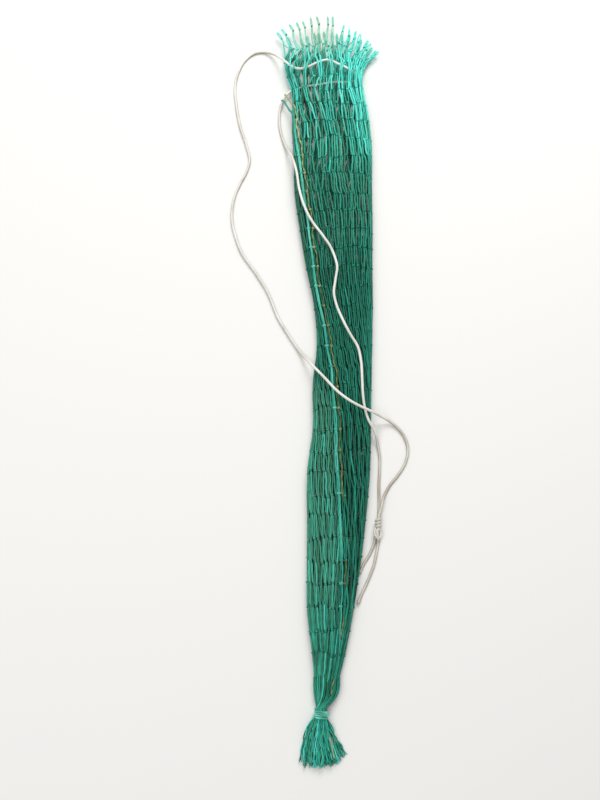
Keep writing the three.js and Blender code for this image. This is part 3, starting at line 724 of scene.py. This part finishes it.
over_columns = np.tile(columns % 2 == 0, 2)[:, None]
strands[..., 0] = drawn_in(strands)
knot_place[..., 0] = drawn_in(knot_place)
strands[..., 2] = lifted(strands, over_columns | (strands[..., 0] > BUNCH_X))
knot_place[..., 2] = lifted(knot_place, (columns % 2 == 0) & ~even_row | (knot_place[..., 0] > BUNCH_X))

# Tone of the strands: painted shade inside, in lower layers and where they run into the knots, every other
# column lighter at the mouth, on the lower right and at the tail, and each bar a little off its strand, with
# painted shade on the bar that lies sunk under the other
SUNK_SHADE = 0.18
LAYER_SHADE = 0.05
strand_y = strands[..., 1]
upper_face = 1 - inner_side
at_knot = np.zeros(strands.shape[1])
at_knot[:BAR_STEPS * (ROWS - 1) + 1:BAR_STEPS] = 1
at_mouth = above(strand_y, 0.27, 0.05) * below(strand_y, 0.42, 0.03)
in_middle = below(strand_y, 0.27, 0.06) * above(strand_y, 0.02, 0.05)
at_tail = below(strand_y, -0.2, 0.08)
right_low = above(strands[..., 0], seam_x(strand_y), 0.01) * below(strand_y, -0.02, 0.05)
right_low *= above(strand_y, -0.33, 0.05)
inside_shade = 0.24 + 0.1 * at_mouth - 0.2 * in_middle - 0.13 * right_low
strand_tone = shade_at(strands) - inside_shade * inner_side - LAYER_SHADE * layer_along
strand_tone -= at_knot * knot_shade_and_pinch(strands)
strand_tone -= 0.035 * in_middle * upper_face
strand_tone += 0.08 * at_tail * upper_face * np.where(over_columns, 1, -0.7)
strand_tone += 0.09 * right_low * upper_face * np.where(over_columns, 1, -0.8)
strand_tone += at_mouth * np.where(over_columns, 0.08, -0.1)
strand_tone += rng.normal(0, 0.05, (STRANDS, 1))
bar_of = np.minimum(np.arange(strands.shape[1]) // BAR_STEPS, ROWS - 2)
bar_sunk = end_to_end(sunk)
bar_tone = SUNK_SHADE * (0.45 - bar_sunk) + rng.normal(0, 0.08, bar_sunk.shape)
even_tone = 0.5 * below(strand_y, 0.26, 0.08) * above(strand_y, -0.3, 0.06)
even_tone *= 1 - 0.7 * (fade_at(strands) > 0.05)
strand_tone += bar_tone[:, bar_of] * (1 - even_tone)
bar_fade = 0.12 * rng.uniform(0, 1, bar_sunk.shape) ** 3
strand_fade = fade_at(strands) + bar_fade[:, bar_of] * above(strand_y, 0.1, 0.1)

# Strand thickness: thin in the gather and the mouth's fingers, fuller in the upper half and underneath
thin = 1 - 0.25 * below(strand_y, -0.37, 0.027)
fuller = 1 + 0.22 * above(strand_y, 0.13, 0.08) * below(strand_y, 0.41, 0.03)
slim = 1 - 0.42 * above(strand_y, 0.4, 0.02) - 2 * at_knot * knot_shade_and_pinch(strands)
slim -= at_mouth * upper_face * np.where(over_columns, 0.1, 0.4)
strand_r = TWINE_R * thin * fuller * slim * (1 + (UNDERSIDE_FULLNESS + 0.15 * at_mouth) * inner_side)
net_work = Work()
net_work.tubes(strands, strand_r[..., None], TWINE_SIDES, strand_tone[..., None], strand_fade[..., None])

# Mouth loops: a narrow drop of twine above each knot of the first row, leaning out with the fan
LOOP_STATIONS = 13
LEFT_LOOPS, RIGHT_LOOPS = -0.6, 0.45
first_row = knot_place[0]
loop_side = first_row[:, 0] - first_row[:, 0].mean()
loop_side = loop_side / np.abs(loop_side).max()
loop_lean = np.where(loop_side > 0, 0.95 * np.abs(loop_side) ** 1.3, 0.5 * loop_side)
loop_lean += rng.uniform(-0.12, 0.12, MESHES)
loop_ahead = xyz(np.sin(loop_lean), np.cos(loop_lean), 0)
loop_aside = xyz(np.cos(loop_lean), -np.sin(loop_lean), 0)
taller = 1 + 0.28 * below(np.abs(first_row[:, 0] + 3 * MM), 26 * MM, 10 * MM)
taller += 0.15 * above(loop_side, 0.3, 0.3)
loop_length = rng.uniform(10, 13, MESHES) * MM * taller
loop_width = np.where(loop_side < LEFT_LOOPS, 1.0, np.where(loop_side > RIGHT_LOOPS, 1.25, 0.7))
loop_width = loop_width * rng.uniform(0.85, 1.2, MESHES) * MM
phase = TURN * np.linspace(0.02, 0.98, LOOP_STATIONS)
loop_reach = (1 - np.cos(phase)) / 2
loops = (first_row[:, None]
         + (loop_length[:, None] * loop_reach)[..., None] * loop_ahead[:, None]
         + (loop_width[:, None] * np.sin(phase))[..., None] * loop_aside[:, None])
loops[..., 2] += np.where(loops[..., 2] > 8 * MM, -0.12, 0.05) * loop_length[:, None] * loop_reach
loop_tone = shade_at(first_row)[:, None, None] + rng.normal(0, 0.06, (MESHES, 1, 1))
net_work.tubes(loops, 0.75 * TWINE_R, TWINE_SIDES, loop_tone, fade_at(loops)[..., None])
net = net_work.piece("net_strands", net_green, "net_twine", "net_bag")

# Knots of the net and of the seam
KNOT_STATIONS = 14
KNOT_TWINE_R = 0.75 * MM
KNOT_TILT = 0.6
SHADED_KNOT_SHARES = [0.9, 0.3]
KNOT_SHADE = 0.38


def knot_loops(work, place, out, size, tone, wide=1.0, fade=0.0):
    """Net knots: a turn of twine wound round the strands as a bent figure of eight, by the sine across, the
    sine of the doubled angle along and the cosine out."""
    angle = TURN * np.arange(KNOT_STATIONS) / KNOT_STATIONS
    across = 1.2 * np.sin(angle) * MM
    along = 1.2 * np.sin(2 * angle) * MM
    outward = 0.75 * np.cos(angle) * MM
    tilt = rng.uniform(-KNOT_TILT, KNOT_TILT, len(place))[:, None]
    turned_across = across * np.cos(tilt) - along * np.sin(tilt)
    turned_along = across * np.sin(tilt) + along * np.cos(tilt)
    turned = xyz(turned_across, turned_along, outward) * size[:, None, None]
    turned[..., 0] *= np.broadcast_to(wide, len(place))[:, None]
    bag_along = np.broadcast_to([0.0, 1.0, 0.0], out.shape)
    directions = np.stack([np.cross(bag_along, out), bag_along, out], axis=-2)
    lines = place[:, None] + np.einsum("nsk,nkx->nsx", turned, directions)
    away = unit(lines - place[:, None] + 0.3 * MM * out[:, None])
    fades = np.broadcast_to(fade, len(place))[:, None, None]
    work.tubes(lines, KNOT_TWINE_R * size[:, None, None], sides=4, tone=tone[:, None, None], fade=fades,
               closed=True, away=away)


all_knots = knot_place.reshape(-1, 3)
all_out = knot_out.reshape(-1, 3)
# Painted shade: most knots of the first row and some of the second are darkened.
shaded_knot_share = np.repeat(by_row(SHADED_KNOT_SHARES, 0), MESHES)
mouth_knot_shade = np.where(rng.uniform(0, 1, len(all_knots)) < shaded_knot_share, KNOT_SHADE, 0)
knot_tone = shade_at(all_knots) - mouth_knot_shade + rng.normal(0.07, 0.08, len(all_knots))
knot_size = rng.uniform(0.64, 0.8, len(all_knots)) * (1 - 0.25 * np.abs(all_out[:, 0]))
knot_wide = np.repeat((apart * girth_at(row_level) + 0.75 * MM) / (1.3 * MM), MESHES)
knots_work = Work()
knot_loops(knots_work, all_knots, all_out, knot_size, knot_tone, knot_wide, 0.7 * fade_at(all_knots))
net_knots = knots_work.piece("net_knots", net_green, "net_twine")

# Seam: the doubled edge strand of the panel and the ochre lacing, lying on the net
SEAM_STEP = 1.5 * MM
SEAM_SIDES = 7
EDGE_YARN_R = 0.9 * MM
LACING_R = 0.8 * MM
LACING_WAVE = 50 * MM


def seam_line(route, height):
    """A seam twine's route, resting a height above the net's outer face."""
    line = even_line(np.column_stack([route, np.zeros(len(route))]), SEAM_STEP)
    line[:, 2] = net_top(line[:, 0], line[:, 1]) + height
    return line


def seam_knots(work, line, highest, lowest, size, tone_at):
    """Knots on a seam twine at the net's rows of knots between two levels, each in its own tone."""
    levels = row_level[(row_level < highest) & (row_level > lowest)]
    places = xyz(*(np.interp(-levels, -line[:, 1], values) for values in line.T))
    knot_loops(work, places, np.broadcast_to(UP, places.shape), np.full(len(places), size), tone_at(places))


# Edge strand: two yarns side by side, spread between the knots, sinking into the net at the lower end and
# turning down round the drawstring at the upper end
edge_line = seam_line(SELVEDGE, height=1.3 * MM)
edge_y = edge_line[:, 1]
edge_line[:, 2] -= 3.2 * MM * below(edge_y, SELVEDGE[-1, 1] + 22 * MM, 20 * MM)
edge_line[:, 2] -= 3.6 * MM * below(edge_line[:, 0], -54.6 * MM, 2 * MM)
edge_phase = np.interp(-edge_y, -row_level[:, 0], np.arange(ROWS))
bulge = np.abs(np.sin(np.pi * edge_phase))
narrow = 1 - 0.4 * above(edge_y, -0.08, 0.04)
half_gap = (0.5 + 0.9 * bulge * (0.6 + 0.4 * np.sin(0.9 * edge_phase))) * narrow * EDGE_YARN_R
yarn_side = np.array([-1, 1])[:, None]
yarn_rise = 0.3 * EDGE_YARN_R * yarn_side * np.sin(1.3 * edge_phase)
edge_yarns = edge_line[None] + xyz(yarn_side * half_gap, 0, yarn_rise)
low = below(edge_y, -0.2, 0.08)
# Painted light: the edge strand is brighter in the upper part of the bag; it is darker off the net and towards
# the tail.
upper_painted_light = 0.12 * above(edge_y, 0.08, 0.05) * below(edge_y, 0.29, 0.01)
off_net = 0.2 * above(edge_y, 0.29, 0.02)
edge_tone = 0.54 + upper_painted_light - off_net - 0.2 * low - 0.12 * below(edge_y, -0.25, 0.04)
edge_tone = edge_tone + 0.1 * np.sin(1.7 * edge_phase) + 0.06 * yarn_side + 0.12 * low * yarn_side
edge_work = Work()
edge_work.tubes(edge_yarns, EDGE_YARN_R, SEAM_SIDES, tone=edge_tone[..., None])
seam_knots(
    edge_work, edge_line, highest=0.27, lowest=-0.3, size=1.1,
    tone_at=lambda places: 0.66 + rng.normal(0, 0.12, len(places)))
selvedge = edge_work.piece("selvedge_strand", selvedge_turquoise, "selvedge_twine", "seam_selvedge")

# Lacing: wandering beside the edge strand, hidden in the net on some stretches, its upper end on the cord
HIDDEN_LACING = np.array([[-175, -248], [-268, -308], [-322, -370]]) * MM
HIDDEN_EASE = 8 * MM
HIDDEN_DEPTH = 5.6 * MM
UPPER_END = MM * np.array([
    [-43.5, 321.5, 10.8], [-47, 327.2, 9.3], [-50, 332.6, 9], [-51.8, 336.2, 9.1], [-52.5, 337, 8],
    [-52.7, 337.3, 6],
])
LOWER_END = MM * np.array([
    [-9, -402, 7.5], [-7, -412, 6.5], [-4.5, -421, 6], [-1.5, -430, 6.6], [0.2, -438, 6.4], [1.4, -444, 5.6],
])
lacing_line = seam_line(LACING, height=1.2 * MM)
lacing_y = lacing_line[:, 1]
wander = run_along(lacing_line) / LACING_WAVE * TURN
lacing_line[:, 0] += 0.8 * MM * np.sin(wander) + 0.5 * MM * np.sin(2.7 * wander + 1)
lacing_line[:, 0] = drawn_in(lacing_line)
hidden = below(lacing_y[:, None], HIDDEN_LACING[:, 0], HIDDEN_EASE)
hidden *= above(lacing_y[:, None], HIDDEN_LACING[:, 1], HIDDEN_EASE)
lacing_line[:, 2] -= HIDDEN_DEPTH * hidden.max(axis=1)
# The lacing is lighter in the upper part and at its lower end; the fast wave along it darkens it every 10 mm
# as painted shade.
lacing_tone = 0.44 + 0.3 * above(lacing_y, 0.1, 0.12) + 0.1 * np.sin(wander / 3) + 0.1 * np.sin(5 * wander)
lacing_tone += 0.16 * below(lacing_y, -0.36, 0.01)
lacing_work = Work()
lacing_work.tubes(lacing_line, LACING_R, SEAM_SIDES, tone=lacing_tone[None, :, None])
upper_end_line = even_line(np.concatenate([lacing_line[:1], UPPER_END]), SEAM_STEP)
lacing_work.tubes(upper_end_line, LACING_R, SEAM_SIDES, tone=0.8)
# The lacing's knots are lighter than the lacing: painted highlights on them.
seam_knots(
    lacing_work, lacing_line, highest=0.3, lowest=-0.38, size=0.85,
    tone_at=lambda places: 0.62 + 0.2 * above(places[:, 1], 0.02, 0.1) + rng.normal(0, 0.1, len(places)))

# Brush: cut ends of the strands fanning out over the floor past the tie, wavy, their tips unlaid into yarns
BRUSH_STRANDS = 92
BRUSH_STATIONS = 30
BRUSH_R = 0.68 * MM
BRUSH_ROOT_Y = -398.5 * MM
BRUSH_ROOT_HALF = 4.3 * MM
BRUSH_ROOT_R = 4.6 * MM
BRUSH_LEFT, BRUSH_RIGHT = -32, 11
BRUSH_MIDDLE, BRUSH_HALF = -10.5, 22
BRUSH_TIP_Y = -450.5
LEFT_ARC, RIGHT_ARC = 2, 11
LEFT_FLARE, RIGHT_FLARE = 2.1, 1.2
TIP_YARNS = 3
TIP_YARN_STATIONS = 5
TIP_YARN_R = 0.42 * MM


def brush_draw(lowest, highest, *more):
    """A value between two limits for each brush strand."""
    return brush_rng.uniform(lowest, highest, (BRUSH_STRANDS, *more))


def brush_waves(fewest, most, share):
    """Sine waves along the brush strands, each with a number of waves and a start of its own."""
    waves = brush_draw(fewest, most, 1)
    return np.sin(TURN * (waves * share + brush_draw(0, 1, 1)))


tip_x = np.linspace(BRUSH_LEFT, BRUSH_RIGHT, BRUSH_STRANDS) + brush_draw(-1.6, 1.6)
fan = np.clip((tip_x - BRUSH_MIDDLE) / BRUSH_HALF, -1, 1)
tip_y = BRUSH_TIP_Y + np.where(fan < 0, LEFT_ARC, RIGHT_ARC) * np.abs(fan) ** 2.2
tip_y += brush_draw(0, 8) * (0.5 + 0.5 * np.abs(fan))
tip_z = brush_draw(0.9, 7) * (1 - 0.5 * np.abs(fan))
tips = xyz(tip_x, tip_y, tip_z) * MM
root_x = fan * BRUSH_ROOT_HALF
root_z = brush_draw(-1, 1) * np.sqrt(np.maximum(BRUSH_ROOT_R ** 2 - root_x ** 2, 0))
roots = xyz(NECK[0] + root_x, BRUSH_ROOT_Y, NECK[2] + root_z)
down = np.linspace(0, 1, BRUSH_STATIONS)
flare = np.where(fan[:, None] < 0, 1 - (1 - down) ** LEFT_FLARE, down ** RIGHT_FLARE)
brush = roots[:, None] + (tips - roots)[:, None] * xyz(flare, down, ease(down))
slow_waves = brush_waves(0.9, 2.2, down)
brush[..., 0] += brush_draw(0.5, 2.0, 1) * MM * slow_waves * np.sin(np.pi * down) ** 0.5 * down ** 0.5
crimp = brush_waves(5, 8, down)
brush[..., 0] += brush_draw(0.1, 0.35, 1) * MM * crimp * down ** 0.5
brush[..., 2] = np.maximum(brush[..., 2], BRUSH_R + FLOOR_GAP)
brush_tone = 0.57 + brush_rng.normal(0, 0.22, (BRUSH_STRANDS, 1, 1))
brush_fade = np.where(brush_draw(0, 1, 1, 1) < 0.16, 0.14, 0.01)
to_tip = down[:, None]
brush_work = Work()
brush_work.tubes(brush, BRUSH_R * (1 - 0.12 * to_tip), sides=6, tone=brush_tone + 0.06 * to_tip,
                 fade=brush_fade)

yarn_out = np.linspace(0, 1, TIP_YARN_STATIONS)
run_out = unit(brush[:, -1] - brush[:, -7])[:, None, None]
yarn_start = np.arange(TIP_YARNS) / TIP_YARNS + brush_draw(0, 1, 1)
yarn_turn = TURN * yarn_start[..., None] + 1.5 * yarn_out
yarn_length = brush_draw(3, 6, TIP_YARNS, 1) * MM
splay = (0.35 + brush_draw(0.2, 1.8, TIP_YARNS, 1) * yarn_out ** 1.5) * MM
yarns = brush[:, -2][:, None, None] + run_out * (yarn_length * yarn_out)[..., None]
yarns += xyz(splay * np.cos(yarn_turn), 0, 0.6 * splay * np.sin(yarn_turn))
yarns = yarns.reshape(-1, TIP_YARN_STATIONS, 3)
yarns[..., 2] = np.maximum(yarns[..., 2], TIP_YARN_R + FLOOR_GAP)
yarn_tone = np.repeat(brush_tone, TIP_YARNS, axis=0) + 0.08 + brush_rng.normal(0, 0.05, (len(yarns), 1, 1))
brush_work.tubes(yarns, TIP_YARN_R * (1 - 0.3 * yarn_out[:, None]), sides=5, tone=yarn_tone,
                 fade=np.repeat(brush_fade, TIP_YARNS, axis=0))
brush_piece = brush_work.piece("tail_brush_strands", net_green, "net_twine", "tail_brush")

# The lacing's lower end, lying loose among the brush
lower_end_line = even_line(LOWER_END, SEAM_STEP)
lower_end_tone = np.linspace(0.5, 0.85, len(lower_end_line))[None, :, None]
lacing_work.tubes(lower_end_line, 0.9 * LACING_R, SEAM_SIDES, tone=lower_end_tone, fade=0.3)
lacing = lacing_work.piece("seam_lacing_twine", lacing_ochre, "lacing_twine", "seam_lacing")

# Tie: flattened turns of turquoise twine wound round the neck
TIE_LOW_Y, TIE_HIGH_Y = -405.2 * MM, -397 * MM
TIE_TURNS = 4
TIE_TURN_STATIONS = 40
TIE_START = math.radians(150)
TIE_R = 6.0 * MM
TIE_OVAL = 1.08
TIE_HALF_THICK = 0.85 * MM
TIE_HALF_WIDE = 1.05 * MM
TIE_SLANT = 0.9 * MM
TIE_WOBBLE = 0.2 * MM
TIE_SIDES = 10
tie_share = np.linspace(0, 1, TIE_TURN_STATIONS * TIE_TURNS)
tie_turn = TURN * TIE_TURNS * tie_share + TIE_START
tie_wobble = TIE_WOBBLE * np.sin(0.7 * tie_turn) - TIE_SLANT * np.cos(tie_turn)
tie_y = TIE_HIGH_Y + (TIE_LOW_Y - TIE_HIGH_Y) * tie_share + tie_wobble
tie_out = xyz(np.cos(tie_turn), 0, np.sin(tie_turn))
tie_line = TIE_R * tie_out * [TIE_OVAL, 1, 1] + xyz(NECK[0], tie_y, NECK[2])
ring_angle = TURN * np.arange(TIE_SIDES) / TIE_SIDES
tie_profile = 1 / np.hypot(np.cos(ring_angle) / TIE_HALF_WIDE, np.sin(ring_angle) / TIE_HALF_THICK)
tie_tone = 0.65 + 0.24 * np.sin(2.1 * tie_turn)[None, :, None]
tie_work = Work()
tie_work.tubes(tie_line, tie_profile, TIE_SIDES, tone=tie_tone, fade=0.08, away=tie_out)
tie = tie_work.piece("tail_tie_turns", selvedge_turquoise, "selvedge_twine", "tail_tie")

# Floor and light
FLOOR_HALF = 3.0
floor_mesh = bpy.data.meshes.new("floor")
floor_corners = FLOOR_HALF * np.array([[-1, -1, 0], [1, -1, 0], [1, 1, 0], [-1, 1, 0]])
floor_mesh.from_pydata(floor_corners, [], [[0, 1, 2, 3]])
floor_material, _, _, finish_floor = node_maker("pale_floor")
finish_floor({"Base Color": (0.84, 0.83, 0.81, 1), "Roughness": 0.8})
floor_mesh.materials.append(floor_material)
floor = placed("floor", floor_mesh)


def soft_light(name, place, target, size, power):
    """A square soft light that faces a target."""
    light = placed(name, bpy.data.lights.new(name, "AREA"))
    light.data.shape, light.data.size, light.data.energy = "SQUARE", size, power
    light.location = place
    back = np.array(place) - np.array(target)
    tilt = math.atan2(math.hypot(back[0], back[1]), back[2])
    light.rotation_euler = (tilt, 0, math.atan2(back[0], -back[1]))


soft_light("window_light", place=(0.35, 1.5, 1.5), target=(0, 0.25, 0), size=1.2, power=30)
soft_light("overhead_light", place=(-0.8, -0.4, 1.9), target=(0, 0, 0), size=1.6, power=16)
world = bpy.data.worlds.new("studio")
world.use_nodes = True
world.node_tree.nodes["Background"].inputs["Color"].default_value = (1, 1, 1, 1)
world.node_tree.nodes["Background"].inputs["Strength"].default_value = 0.45
bpy.context.scene.world = world
bpy.context.scene.view_settings.view_transform = "Standard"
